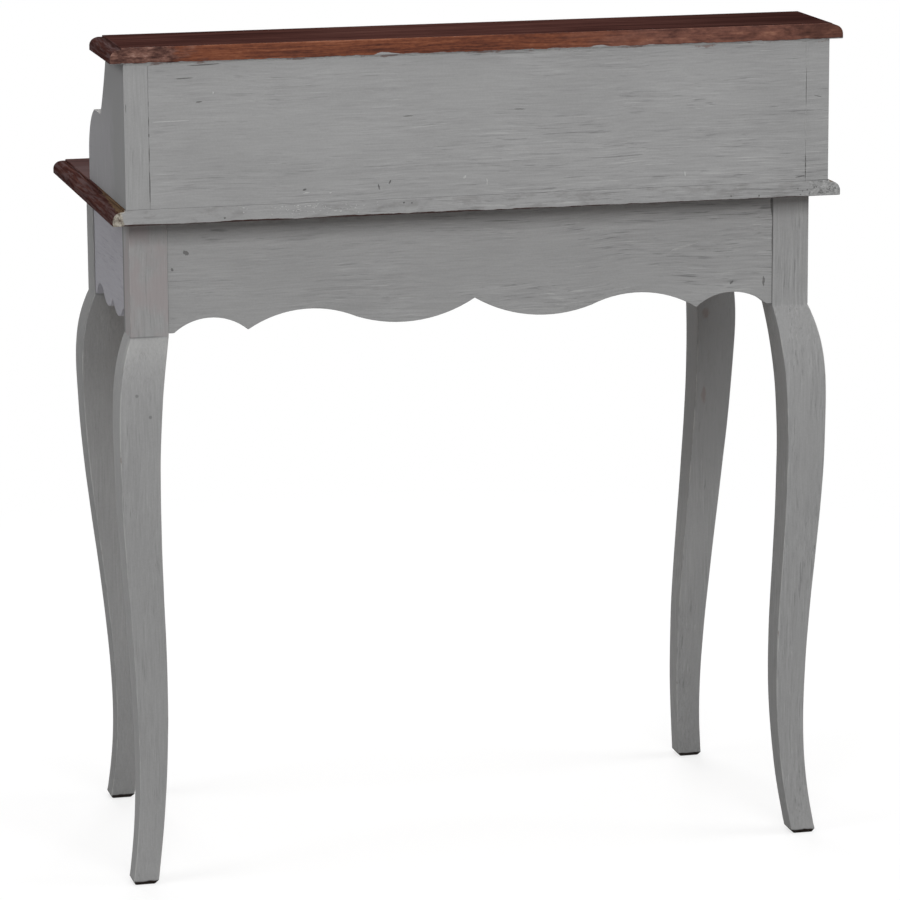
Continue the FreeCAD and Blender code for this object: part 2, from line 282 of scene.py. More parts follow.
def sole_mark(coat):
    """Bare dark wood where the foot meets the floor."""
    ragged = (coat.noise(90) - 0.5) * 0.004
    coat.lay(SOLE_WOOD, (coat.z + ragged).fade(*SOLE_BARE))


# Stain dragged down from the hutch top: where along the desk, half width, how far down
SMEARS = (
    (0.352, 0.03, 0.003),
    (0.3, 0.034, 0.0022),
    (-0.246, 0.022, 0.006),
    (-0.376, 0.016, 0.004),
)
SMEAR_LEVEL = (CAP_LOW.z - 0.0004, CAP_LOW.z + 0.0022)


def smear_mark(coat):
    """Brown stain dragged down from the hutch top onto the paint, in a few places."""
    ragged = (coat.noise((190, 190, 120), detail=5, roughness=0.7) - 0.5) * 0.013
    level = coat.z + ragged
    for middle, half, depth in SMEARS:
        level = level + abs(coat.x - middle).fade(half, 0.0) * depth
    coat.lay(SMEAR, level.fade(*SMEAR_LEVEL) * 0.75)


def bead_mark(coat):
    """Brown stain rubbed onto stretches of a bead of paint."""
    cloud = coat.noise((30, 6, 6), detail=4, roughness=0.65, shift=7.6)
    coat.lay(SMEAR, cloud.fade(0.51, 0.6) * 0.8)


# Where painted shade darkens the side of a hutch end: towards the rear, and towards the top
SHADE_REAR = (0.092, 0.142)
SHADE_UPPER = (0.8, 0.87)


def corner_shade_mark(coat):
    """Painted shade, darker and greyer, on the rear and upper parts of a hutch end's side."""
    cloud = (coat.noise(40, shift=3.6) - 0.5) * 0.06
    rear = (coat.y + cloud).fade(*SHADE_REAR)
    # painted shade towards the rear corner and under the hutch top
    coat.lay(CORNER_PAINTED_SHADE, rear.most(coat.z.fade(*SHADE_UPPER)) * 0.7)


# Rear right leg: foot of the thin paint, painted shade along the crease, painted shadow in the gap
# beside the apron, smear under the crease
BLOCK_START = (BLOCK_FOOT - 0.0006, BLOCK_FOOT + 0.0006)
REAR_FACE = (0.15, 0.156)
CREASE_SHADE_HALF = (0.0012, 0.0003)
CREASE_SHADE_SPAN = (BLOCK_SIDE - 0.004, BLOCK_SIDE + 0.02)
GAP_SHADOW_SPAN = (BLOCK_FRONT + 0.01, BLOCK_FRONT + 0.005)
OUTER_FACE = (BLOCK_OUT - 0.0015, BLOCK_OUT - 0.0005)
SMEAR_TOP = (BLOCK_FOOT, BLOCK_FOOT - 0.003)
SMEAR_FOOT = (0.56, 0.598)


def rose_mark(coat):
    """Thin, warmer paint on a leg block, down to the crease where the curve starts; painted shade along
    the crease and in the gap by the block's front arris.
    """
    cloud = coat.noise((34, 34, 22), shift=2.2)
    block = coat.z.fade(*BLOCK_START)
    rear = coat.y.fade(*REAR_FACE)
    coat.lay(THIN_PAINT, block * cloud.fade(0.34, 0.58) * 0.75)
    # painted shade along the crease at the foot of the block
    crease_shade = abs(coat.z - BLOCK_FOOT).fade(*CREASE_SHADE_HALF)
    coat.lay(CRACK_AND_SHADE, crease_shade * rear * coat.x.fade(*CREASE_SHADE_SPAN) * 0.55)
    # painted shadow in the gap beside the apron, along the block's front arris
    gap_shadow = coat.y.fade(*GAP_SHADOW_SPAN) * block * coat.x.fade(*OUTER_FACE)
    coat.lay(CRACK_AND_SHADE, gap_shadow * 0.75)
    below = coat.z.fade(*SMEAR_TOP) * coat.z.fade(*SMEAR_FOOT)
    coat.lay(PRIMER, below * rear * cloud * 0.6)


# Small knocks on a rear leg: x, z, half width, half height
KNOCKS = (
    (0.3744, 0.5419, 0.0023, 0.0023),
    (0.3606, 0.5185, 0.0023, 0.0023),
)


def knock_mark(coat):
    """Small dark knocks below the knee, through the paint."""
    for knock in KNOCKS:
        coat.lay(CRACK_AND_SHADE, coat.spot(*knock).fade(1.0, 0.16) * 0.55)


# Faint brown smudges on a front leg: x, z, half width, half height
SMUDGES = (
    (-0.348, 0.445, 0.0034, 0.011),
    (-0.347, 0.544, 0.005, 0.007),
)
# Heights over which that leg's upper half takes painted shade, under the desk
LEG_SHADE_LEVEL = (0.27, 0.4)


def shade_and_smudge_mark(coat):
    """Painted shade on the upper half of a leg, under the desk, with faint brown smudges."""
    cloud = (coat.noise((24, 24, 9), shift=5.9) - 0.5) * 0.12
    upper = (coat.z + cloud).fade(*LEG_SHADE_LEVEL)
    # painted shade: the desk above shades this leg's upper half
    coat.lay(SHADED_PAINT_DARK, upper * 0.62)
    ragged = (coat.noise((260, 260, 120), detail=4, shift=2.4) - 0.5) * 1.8
    for smudge in SMUDGES:
        coat.lay(SMEAR, (coat.spot(*smudge) + ragged).fade(1.3, 0.2) * 0.4)


# Rear edge of the writing top: where its brown line grows, its level, where crust and chip start
LINE_GROWS = (-0.22, 0.06)
LINE_REACH = 0.0012
LINE_LEVEL = (TOP_LOW.z + 0.0009, TOP_LOW.z + 0.0003)
CRUST_START = (0.045 - HALF, 0.022 - HALF)
CHIP_START = (HALF - 0.0135, HALF - 0.0105)


def lap_mark(coat):
    """Brown line left along the lower edge of the writing top, crusty paint and a chipped corner."""
    swell = coat.noise((14, 3, 3), shift=6.3)
    reach = swell.fade(0.3, 0.6) * coat.x.fade(*LINE_GROWS) * -LINE_REACH
    ragged = (coat.noise((90, 40, 160), detail=4) - 0.5) * 0.0022
    coat.lay(LAP_LINE_AND_GAP_SHADOW, (coat.z + reach + ragged).fade(*LINE_LEVEL))
    soil = coat.noise((40, 40, 120), detail=4, roughness=0.65, shift=9.7)
    coat.lay(GRIME_AND_SHADE, soil.fade(0.48, 0.66) * 0.3)
    crumbs = coat.noise((330, 330, 420), roughness=0.6, shift=8.8)
    coat.lay(crumbs.ramp(CRUST), coat.x.fade(*CRUST_START) * 0.75)
    torn = (coat.noise(150, detail=4) - 0.5) * 0.016
    fibres = coat.noise((420, 420, 300), shift=3.2)
    coat.lay(fibres.ramp(CHIP), (coat.x + torn).fade(*CHIP_START))


# Rear apron: levels of painted shade under the writing top and of the wash, and a smutch by x, z, half
# width, half height
UNDER_TOP_SHADE_LEVEL = (APRON_TOP - 0.012, APRON_TOP + 0.002)
WASH_LEVEL = (APRON_TOP - 0.01, APRON_TOP)
SMUTCH = (0.286, 0.709, 0.022, 0.008)


def shade_and_grime_mark(coat):
    """Painted shade with some grime, and a little brown wash, on the rear apron close under the writing
    top.
    """
    ragged = (coat.noise((46, 46, 90), detail=4, roughness=0.65, shift=4.4) - 0.5) * 0.02
    level = coat.z + ragged
    # painted shade under the writing top's overhang, mottled like grime
    coat.lay(GRIME_AND_SHADE, level.fade(*UNDER_TOP_SHADE_LEVEL) * 0.56)
    patch = coat.noise(9, detail=2, shift=7.2).fade(0.46, 0.6)
    coat.lay(SMEAR, level.fade(*WASH_LEVEL) * patch * 0.5)
    streaks = coat.noise((30, 30, 380), roughness=0.6, shift=3.9)
    smutch = coat.spot(*SMUTCH).fade(1.0, 0.2) * streaks.fade(0.52, 0.38)
    coat.lay(CRACK_AND_SHADE, smutch * 0.55)


# Stretch at each end where the ledges take painted shade
LEDGE_SHADED = (0.27, 0.35)


def ledge_shade_mark(coat):
    """Painted shade, mottled, on the small upward ledges near a hutch end's front edge."""
    cloud = coat.noise(120, detail=4, shift=1.1)
    # painted shade: darkens the upward ledges towards the ends
    coat.lay(GRIME_AND_SHADE, abs(coat.x).fade(*LEDGE_SHADED) * (cloud * 0.4 + 0.62))


# Brush texture: spots per metre along the strokes and across them
STROKES = (18, 400)
BRISTLES = (36, 900)
CLOUDS = (8, 20)
TORN_LINES = (14, 520)
PATCHES = (9, 32)
HAIRLINES = (24, 640)
RUBS = (30, 70)
SPECKLE = 480
# Stretch along which torn lines grow more frequent
BUSIER = (0.3, -0.25)


def paint(name, grain, marks=(), dark=PAINT_DARK, light=PAINT_LIGHT, lines=1.0, sway=0.012):
    """Grey paint brushed along the grain: faint strokes, patches of torn lines, rubbed arrises."""
    coat = Coat(name)
    wavy = coat.wander(14.0, 0.004, coat.wander(4.5, sway))
    strokes = coat.noise(along(grain, *STROKES), detail=4, roughness=0.62, place=wavy)
    bristles = coat.noise(along(grain, *BRISTLES), detail=2, shift=0.9, place=wavy)
    clouds = coat.noise(along(grain, *CLOUDS), shift=5.2)
    torn = coat.noise(along(grain, *TORN_LINES), roughness=0.6, shift=3.7, place=wavy)
    where = coat.noise(along(grain, *PATCHES), roughness=0.6, shift=1.3)
    hairs = coat.noise(along(grain, *HAIRLINES), detail=2, roughness=0.6, shift=7.3, place=wavy)
    speckle = coat.noise(SPECKLE, detail=2, shift=6.9)
    busier = coat.x.fade(*BUSIER) * (0.85 * lines) + 0.8 * lines
    patch = where.fade(0.37, 0.58) * busier
    hairline = hairs.fade(0.38, 0.28) * (patch * 0.7 + 0.2)
    crack = torn.fade(0.4, 0.29) * patch
    ridge = torn.fade(0.6, 0.71) * patch
    tone = (
        (strokes - 0.5) * 1.25 * (patch * 0.75 + 0.35)
        + (bristles - 0.5) * (0.6 * lines)
        + (speckle - 0.5) * 0.4
        + (clouds - 0.5) * 0.55
        + 0.5
    )
    coat.colour = coat.mix(tone, dark, light)
    coat.lay(CRACK_AND_SHADE, crack * 0.38)
    coat.lay(CRACK_AND_SHADE, hairline * (0.4 * lines))
    # painted highlight on the raised paint beside the torn lines
    coat.lay(RIDGE_HIGHLIGHT, ridge * 0.42)
    for mark in marks:
        mark(coat)
    rub = coat.noise(along(grain, *RUBS), shift=8.1)
    edge = coat.edge()
    worn = edge * rub.fade(0.38, 0.6)
    chipped = edge * rub.fade(0.66, 0.72)
    coat.lay(PRIMER, worn * 0.6)
    coat.lay(SHOWN_WOOD, chipped * 0.8)
    height = strokes * 0.6 + bristles * 0.2 - crack * 0.6 + ridge * 0.4 - worn * 0.2
    roughness = strokes * 0.2 + crack * 0.12 + 0.52
    return coat.finish(roughness, height, strength=0.3, depth=0.0006, shine=0.04)


# Stain and wood tones, from the darkest grain to the lightest
STAIN = (
    (0.22, (0.017, 0.0075, 0.0066)),
    (0.42, (0.041, 0.0163, 0.0138)),
    (0.58, (0.065, 0.027, 0.0226)),
    (0.8, (0.118, 0.058, 0.047)),
)
EDGE_STAIN = (
    (0.24, (0.048, 0.019, 0.014)),
    (0.44, (0.112, 0.037, 0.022)),
    (0.6, (0.172, 0.058, 0.03)),
    (0.82, (0.265, 0.106, 0.06)),
)
PALE_STAIN = (
    (0.32, (0.018, 0.0095, 0.0085)),
    (0.44, (0.078, 0.037, 0.03)),
    (0.57, (0.165, 0.084, 0.065)),
    (0.72, (0.34, 0.21, 0.17)),
)
DULL_STAIN = (
    (0.28, (0.04, 0.0205, 0.018)),
    (0.46, (0.11, 0.05, 0.0395)),
    (0.6, (0.17, 0.077, 0.057)),
    (0.78, (0.28, 0.14, 0.095)),
)
DARK_PORE = (0.008, 0.0035, 0.003)
RUBBED = (0.122, 0.086, 0.086)
WORN_EDGE = (0.19, 0.09, 0.06)
PALE_ARRIS = (0.31, 0.19, 0.145)

# Moulding round a stained board: its width, and the steps over which grain and haze end at it
MOULDING = 0.0125
GRAIN_STEP = 0.0008
HAZE_STEP = 0.001

# Dust and haze beside the hutch on the writing top, and the darker end of the hutch top
DUST_WIDER = 0.0075
DUST_SPAN = (HUTCH_HALF + 0.001, HUTCH_HALF - 0.001)
DUST_REAR = (0.0, 0.05)
HAZE_SPAN = (HUTCH_HALF - 0.07, HUTCH_HALF - 0.03)
CAP_DARK_END = (-0.12, -0.33)


def stained(name, low, high, dusty):
    """Dark red-brown stain on a moulded board: grain along it, rubbed mouldings, worn arrises."""
    coat = Coat(name)
    wavy = coat.wander(9.0, 0.01)
    lengthwise = coat.noise((5, 150, 150), detail=6, roughness=0.64, place=wavy)
    crosswise = coat.noise((330, 8, 330), detail=5, roughness=0.66, shift=2.6, place=wavy)
    across = abs(coat.x)
    inner = high.x - MOULDING
    ends = across.fade(inner - GRAIN_STEP, inner)
    nose = coat.y.fade(low.y + MOULDING + GRAIN_STEP, low.y + MOULDING)
    grain = lengthwise + ends * (crosswise - lengthwise)
    cloud = coat.noise((3, 9, 9), shift=3.3)
    coat.colour = (grain + (cloud - 0.5) * 0.45).ramp(STAIN)
    pore = coat.noise((38, 900, 900), detail=2, shift=7.7, place=wavy).fade(0.37, 0.31)
    coat.lay(DARK_PORE, pore * 0.6)
    rub = coat.noise((300, 13, 300), detail=5, roughness=0.7, shift=1.9, place=wavy)
    rub_front = coat.noise((14, 110, 150), detail=4, roughness=0.6, shift=4.9, place=wavy)
    rubbed = (ends * rub.fade(0.44, 0.62)).most(nose * rub_front.fade(0.52, 0.68))
    coat.lay(RUBBED, rubbed * 0.55)
    if dusty:
        wider = coat.y.fade(0.0, REAR) * -DUST_WIDER
        ragged = (coat.noise((150, 70, 70), detail=4) - 0.5) * 0.01
        reach = across + wider + ragged
        beside = reach.fade(*DUST_SPAN) * coat.y.fade(*DUST_REAR)
        flat = across.fade(inner, inner - HAZE_STEP)
        haze = flat * across.fade(*HAZE_SPAN) * cloud.fade(0.25, 0.6)
        coat.lay(RUBBED, haze * 0.6)
        coat.lay(DUST, beside * rub.fade(0.3, 0.55))
    else:
        coat.lay(DARK_PORE, coat.x.fade(*CAP_DARK_END) * 0.4)
    worn = coat.edge() * rub_front.fade(0.36, 0.6)
    coat.lay(WORN_EDGE, worn * 0.7)
    height = grain * 0.6 - pore * 0.5 - rubbed * 0.3
    roughness = rubbed * 0.12 + grain * 0.14 + 0.48
    return coat.finish(roughness, height, strength=0.25, depth=0.0006, shine=0.0)


# Rear edge of the hutch top: its pale, dull and darkest ends, the level of a painted shadow along its
# foot, and the level and reach of the paint lapping its foot
PALE_END = (HALF - 0.09, HALF - 0.06)
DULL_END = (-0.05, -0.2)
DARK_END = (-0.325, -0.385)
GAP_SHADOW_LEVEL = (CAP_LOW.z + 0.0013, CAP_LOW.z + 0.0004)
LAP_LEVEL = (CAP_LOW.z + 0.0008, CAP_LOW.z + 0.0001)
LAP_REACH = 0.0042


def stained_edge(name):
    """Sawn rear edge of the hutch top: lighter stain, pale and dull ends, a painted shadow along its
    foot, paint lapping its foot.
    """
    coat = Coat(name)
    wavy = coat.wander(22.0, 0.004)
    grain = coat.noise((13, 420, 420), detail=5, roughness=0.66, place=wavy)
    cloud = coat.noise((7, 60, 60), shift=2.8)
    flecks = coat.noise((170, 520, 520), roughness=0.6, shift=6.1)
    tone = (grain - 0.5) * 1.15 + (cloud - 0.5) * 0.5 + (flecks - 0.5) * 0.45 + 0.5
    coat.colour = tone.ramp(EDGE_STAIN)
    blotch = coat.noise((62, 150, 150), detail=5, roughness=0.7, shift=9.4, place=wavy)
    blotch = blotch + (grain - 0.5) * 0.3
    drift = (coat.noise((34, 90, 90), detail=4, shift=5.1) - 0.5) * 0.12
    place = coat.x + drift
    coat.lay(blotch.ramp(PALE_STAIN), place.fade(*PALE_END))
    coat.lay(blotch.ramp(DULL_STAIN), place.fade(*DULL_END) * 0.85)
    coat.lay(DARK_PORE, place.fade(*DARK_END) * 0.34)
    ragged = (coat.noise((75, 40, 220), detail=4, roughness=0.65, shift=7.9) - 0.5) * 0.0055
    foot = (coat.z + ragged).fade(*GAP_SHADOW_LEVEL)
    swell = coat.noise((17, 3, 3), detail=2, shift=2.9)
    # painted shadow in the gap along the foot of the edge
    coat.lay(LAP_LINE_AND_GAP_SHADOW, foot * swell.fade(0.62, 0.4))
    reach = swell.fade(0.54, 0.78) * -LAP_REACH
    lapped = (coat.z + reach + ragged * 0.6).fade(*LAP_LEVEL)
    coat.lay(LAPPED_PAINT, lapped)
    worn = coat.edge() * grain.fade(0.34, 0.52)
    coat.lay(PALE_ARRIS, worn * 0.8)
    height = grain * 0.7 + blotch * 0.3 + lapped * 0.3
    roughness = grain * 0.2 + 0.48
    return coat.finish(roughness, height, strength=0.35, depth=0.0007, shine=0.05)


BARE = (
    (0.25, (0.25, 0.145, 0.072)),
    (0.45, (0.39, 0.25, 0.135)),
    (0.62, (0.475, 0.325, 0.185)),
    (0.82, (0.56, 0.415, 0.26)),
)
RAW = (
    (0.25, (0.085, 0.045, 0.027)),
    (0.45, (0.14, 0.078, 0.047)),
    (0.62, (0.19, 0.112, 0.068)),
    (0.82, (0.25, 0.16, 0.105)),
)


def bare(name, grain, stops=BARE):
    """Planed wood with no finish: long growth lines, fine pores and a little dust."""
    coat = Coat(name)
    wavy = coat.wander(5.0, 0.02)
    lines = coat.noise(along(grain, 2.6, 95), detail=4, roughness=0.6, bend=0.3, place=wavy)
    fine = coat.noise(along(grain, 22, 620), shift=2.1, place=wavy)
    pore = coat.noise(along(grain, 60, 1300), detail=2, shift=4.6, place=wavy).fade(0.36, 0.3)
    dust = coat.noise(16, shift=6.6)
    tone = lines + (fine - 0.5) * 0.45 + (dust - 0.5) * 0.25
    coat.colour = tone.ramp(stops)
    coat.lay(stops[0][1], pore * 0.45)
    coat.lay(stops[3][1], coat.edge() * 0.4)
    height = lines * 0.5 + fine * 0.3 - pore * 0.4
    roughness = fine * 0.2 + 0.55
    return coat.finish(roughness, height, strength=0.25, depth=0.0006, shine=0.2)


def turned(name):
    """Stained knob: fine turning lines round its axis and a rubbed crown."""
    coat = Coat(name)
    wavy = coat.wander(60.0, 0.002)
    rings = coat.noise((60, 1500, 60), place=wavy)
    grain = coat.noise((260, 60, 40), detail=4, roughness=0.6, shift=3.1, place=wavy)
    coat.colour = (grain + (rings - 0.5) * 0.35).ramp(STAIN)
    rub = coat.noise(130, shift=5.5)
    worn = coat.edge() * rub.fade(0.35, 0.65)
    coat.lay(WORN_EDGE, worn * 0.5)
    height = rings * 0.4 + grain * 0.4
    roughness = grain * 0.2 + 0.28
    return coat.finish(roughness, height, strength=0.2, depth=0.0003, shine=0.35)


PLATE = (
    (0.3, (0.16, 0.14, 0.11)),
    (0.6, (0.46, 0.44, 0.4)),
)


def steel(name):
    """Dull plated steel with brushed scratches and dark spots, for screw heads."""
    coat = Coat(name)
    scratches = coat.noise((2600, 400, 500))
    spots = coat.noise(700, shift=1.5)
    coat.colour = (scratches + (spots - 0.5) * 0.8).ramp(PLATE)
    roughness = spots * 0.3 + 0.25
    coat.fill(coat.surface, {"Metallic": 1.0})
    return coat.finish(roughness, scratches, strength=0.15, depth=0.0001, shine=0.5)


paint_back = paint("paint_hutch_back", "X", (smear_mark,))
paint_x = paint("paint_lengthwise", "X")
# Rear apron paint with painted shade under the writing top
paint_apron = paint("paint_rear_apron", "X", (shade_and_grime_mark,), lines=1.05, sway=0.02)
# Side aprons in the lighter copy of the paint: painted light
paint_y_lit = paint("paint_side_boards_lit", "Y", (), COOL_LIT_DARK, COOL_LIT_LIGHT)
paint_z = paint("paint_upright", "Z")
paint_strip = paint("paint_hutch_strip", "Z", (smear_mark,), lines=0.7)
# Outer sides of the hutch ends in the darker copy of the paint: painted shade
paint_end_shaded = paint("paint_hutch_end_shaded", "Z", (corner_shade_mark, smear_mark), END_SHADED_DARK, END_SHADED_LIGHT, lines=0.6)
# Upward ledges of the hutch ends and shelf, with painted shade towards the ends
paint_ledge_shaded = paint("paint_hutch_ledge_shaded", "X", (ledge_shade_mark,), lines=0.6)
paint_leg = paint("paint_leg", "Z", (sole_mark,), lines=0.8)
# Darker copy of the leg paint: painted shade on chosen leg sides
paint_leg_shaded = paint("paint_leg_side_shaded", "Z", (sole_mark,), SHADED_PAINT_DARK, SHADED_PAINT_LIGHT, lines=0.8)
# Leg paint with painted shade on the upper half and faint brown smudges
paint_shaded_smudged = paint("paint_leg_shaded_smudged", "Z", (shade_and_smudge_mark, sole_mark), lines=0.8)
paint_rose = paint("paint_leg_thin", "Z", (sole_mark, rose_mark, knock_mark), lines=0.9)
paint_lap = paint("paint_top_edge", "X", (lap_mark,))
# Raised drips in a lighter copy of the paint: painted highlight
paint_drip = paint("paint_drip", "X", (), DRIP_HIGHLIT_DARK, DRIP_HIGHLIGHT)
# Bead in a lighter copy of the paint: painted highlight
paint_bead = paint("paint_bead", "X", (bead_mark,), BEAD_HIGHLIT_DARK, BEAD_HIGHLIGHT)
# Raised ridges on the apron in a lighter copy of the paint: painted highlight
paint_ridge = paint("paint_ridge", "X", (), RIDGE_HIGHLIT_DARK, RIDGE_HIGHLIGHT)
paint_hole = paint("paint_dent", "X", (), HOLE_DARK, HOLE_LIGHT)
stain_top = stained("stain_writing_top", TOP_LOW, TOP_HIGH, True)
stain_cap = stained("stain_hutch_top", CAP_LOW, CAP_HIGH, False)
stain_rear = stained_edge("stain_rear_edge")
bare_x = bare("bare_lengthwise", "X")
bare_y = bare("bare_sideways", "Y")
raw_x = bare("raw_lengthwise", "X", RAW)
raw_y = bare("raw_sideways", "Y", RAW)
knob_stain = turned("knob_stain")
screw_steel = steel("screw_steel")


def new_piece(name, work, materials, body):
    """Piece from a finished bmesh, with its materials, riding its body."""
    mesh = bpy.data.meshes.new(name)
    work.normal_update()
    work.to_mesh(mesh)
    work.free()
    piece = bpy.data.objects.new(name, mesh)
    bpy.context.scene.collection.objects.link(piece)
    for material in materials:
        mesh.materials.append(material)
    shade(piece)
    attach(piece, body)
    return piece


def stand_in(node, ending, work, materials, choose=None):
    """Piece that replaces a node; choose(face) picks which of the materials a face takes."""
    work.normal_update()
    if choose is not None:
        for face in work.faces:
            face.material_index = choose(face)
    piece = new_piece(node + ending, work, materials, nodes[node]["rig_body"])
    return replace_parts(piece, node)


def shade(piece):
    """Smooth shading between sharp edges, with normals that follow the larger faces."""
    mesh = piece.data
    mesh.polygons.foreach_set("use_smooth", [True] * len(mesh.polygons))
    mesh.set_sharp_from_angle(angle=SMOOTH)
    mesh.update()
    even = piece.modifiers.new("even_normals", "WEIGHTED_NORMAL")
    even.keep_sharp = True


# Distance that welds points, angles of a flat edge, a sharp edge and an edge shaded smooth
WELD = 1e-5
FLAT = math.radians(0.6)
SHARP = math.radians(25)
SMOOTH = math.radians(50)


def plain_copy(node):
    """The node's own faces, welded, with flat areas joined into single faces."""
    work = bmesh.new()
    mesh = nodes[node].data
    points = [work.verts.new(v.co) for v in mesh.vertices]
    for face in mesh.polygons:
        work.faces.new([points[i] for i in face.vertices])
    bmesh.ops.remove_doubles(work, verts=work.verts, dist=WELD)
    bmesh.ops.dissolve_limit(work, angle_limit=FLAT, verts=work.verts, edges=work.edges)
    return work


def ease(work, amount, wanted=None):
    """Round the outer arrises; the middle of each rounding carries the edge mark that wear follows."""
    arrises = []
    for edge in work.edges:
        outer = edge.is_manifold and edge.is_convex and edge.calc_face_angle(0.0) > SHARP
        if outer and (wanted is None or wanted(edge)):
            arrises.append(edge)
    settings = {"offset_type": "OFFSET", "segments": 2, "profile": 0.5, "affect": "EDGES"}
    made = bmesh.ops.bevel(work, geom=arrises, offset=amount, clamp_overlap=True, **settings)
    rounded = set(made["faces"])
    mark = work.verts.layers.float.new("edge")
    for point in made["verts"]:
        if point.is_valid and all(face in rounded for face in point.link_faces):
            point[mark] = 1.0


# Rounding of arrises: plain boards, hutch back, hutch ends, moulded boards, drawer fronts
BOARD_EASE = 0.0008
BACK_EASE = 0.00035
END_EASE = 0.0006
TOP_EASE = 0.0007
FRONT_EASE = 0.0014


def eased_piece(node, materials, choose=None, amount=BOARD_EASE, wanted=None):
    """A node with eased arrises, all of them or those that are wanted."""
    work = plain_copy(node)
    ease(work, amount, wanted)
    return stand_in(node, "_eased", work, materials, choose)


def cut(piece, cutter, material):
    """Take the cutter out of the piece; the cut faces take the given material."""
    mesh = bpy.data.meshes.new("cutter")
    cutter.to_mesh(mesh)
    cutter.free()
    mesh.materials.append(material)
    tool = bpy.data.objects.new("cutter", mesh)
    bpy.context.scene.collection.objects.link(tool)
    piece.modifiers.remove(piece.modifiers["even_normals"])
    taken = piece.modifiers.new("taken", "BOOLEAN")
    taken.operation = "DIFFERENCE"
    taken.solver = "EXACT"
    taken.use_self = True
    taken.material_mode = "TRANSFER"
    taken.object = tool
    graph = bpy.context.evaluated_depsgraph_get()
    old = piece.data
    piece.data = bpy.data.meshes.new_from_object(piece.evaluated_get(graph))
    piece.modifiers.remove(taken)
    piece.data.name = old.name
    bpy.data.objects.remove(tool)
    bpy.data.meshes.remove(mesh)
    bpy.data.meshes.remove(old)
    shade(piece)


# Dents and drips: share of their size that is uneven, its grain, its spread between them, fineness
LUMP_ROUGH = 0.45
LUMP_GRAIN = 2.6
LUMP_SPREAD = 900.0
LUMP_FINE = 3
LUMP_PLAIN = 2


def lumps(spots, face_y, finer):
    """Uneven lens shapes on a face that looks to the rear: (x, z, length, height, depth, tilt)."""
    work = bmesh.new()
    for x, z, length, height, depth, tilt in spots:
        turn = Matrix.Rotation(tilt, 4, "Y")
        shape = Matrix.Diagonal((length / 2, depth, height / 2, 1.0))
        made = bmesh.ops.create_icosphere(work, subdivisions=finer, radius=1.0)
        for point in made["verts"]:
            way = point.co * LUMP_GRAIN + Vector((x, 0.0, z)) * LUMP_SPREAD
            rough = 1.0 + LUMP_ROUGH * noise.noise(way)
            point.co = turn @ shape @ (point.co * rough) + Vector((x, face_y, z))
    return work


def skin(work, rings):
    """Faces between rings that have as many points each, closed at both ends."""
    for low, high in zip(rings, rings[1:]):
        for i in range(len(low)):
            j = (i + 1) % len(low)
            work.faces.new((low[i], low[j], high[j], high[i]))
    work.faces.new(list(reversed(rings[0])))
    work.faces.new(rings[-1])


# Legs: rounding of block and curve, spacing of the rings, rings at the sole and at the crease
BLOCK_EASE = 0.0009
LEG_EASE = 0.0016
LEG_STEP = 0.006
SOLE_RINGS = (0.0, 0.0018, SOLE, SOLE + 0.002)
CREASE_RINGS = (BLOCK_FOOT - 0.0012, BLOCK_FOOT, BLOCK_FOOT + 0.0012)
# Times that the curve is evened out, its end, slack for a ring that just meets an edge
SMOOTH_TURNS = 4
CURVE_TOP = BLOCK_FOOT - 0.008
SLACK = 1e-7
# Hand-shaped drift of the curve: its size, how quickly it changes, how much legs and sides differ
LEG_DRIFT = 0.00025
DRIFT_GRAIN = 22.0
DRIFT_LEGS = 40.0
DRIFT_SIDES = 7.0


def leg_levels(top):
    """Heights of the leg's rings, from the sole to the top of the block."""
    levels = list(SOLE_RINGS)
    count = round((BLOCK_FOOT - SOLE) / LEG_STEP)
    levels += [SOLE + (BLOCK_FOOT - SOLE) * i / count for i in range(1, count)]
    levels += CREASE_RINGS
    count = round((top - BLOCK_FOOT) / LEG_STEP / 2)
    levels += [BLOCK_FOOT + (top - BLOCK_FOOT) * i / count for i in range(1, count + 1)]
    return levels


def leg_slices(node, levels):
    """Lowest x, highest x, lowest y and highest y of the leg at each level."""
    mesh = nodes[node].data
    points = [v.co for v in mesh.vertices]
    spans = [[math.inf, -math.inf, math.inf, -math.inf] for level in levels]
    for edge in mesh.edges:
        a, b = sorted((points[edge.vertices[0]], points[edge.vertices[1]]), key=lambda p: p.z)
        for span, level in zip(spans, levels):
            if a.z - SLACK <= level <= b.z + SLACK:
                share = (level - a.z) / (b.z - a.z) if b.z - a.z > SLACK else 0.0
                p = a.lerp(b, min(1.0, max(0.0, share)))
                span[:2] = min(span[0], p.x), max(span[1], p.x)
                span[2:] = min(span[2], p.y), max(span[3], p.y)
    return spans


def smoothed(spans, levels):
    """The same spans with the facets of the curved part evened out; sole and block stay crisp."""
    for turn in range(SMOOTH_TURNS):
        before = [list(span) for span in spans]
        for i in range(len(SOLE_RINGS), len(levels) - 1):
            if levels[i] < CURVE_TOP:
                for k in range(len(spans[i])):
                    spans[i][k] = (before[i - 1][k] + 2 * before[i][k] + before[i + 1][k]) / 4
    return spans


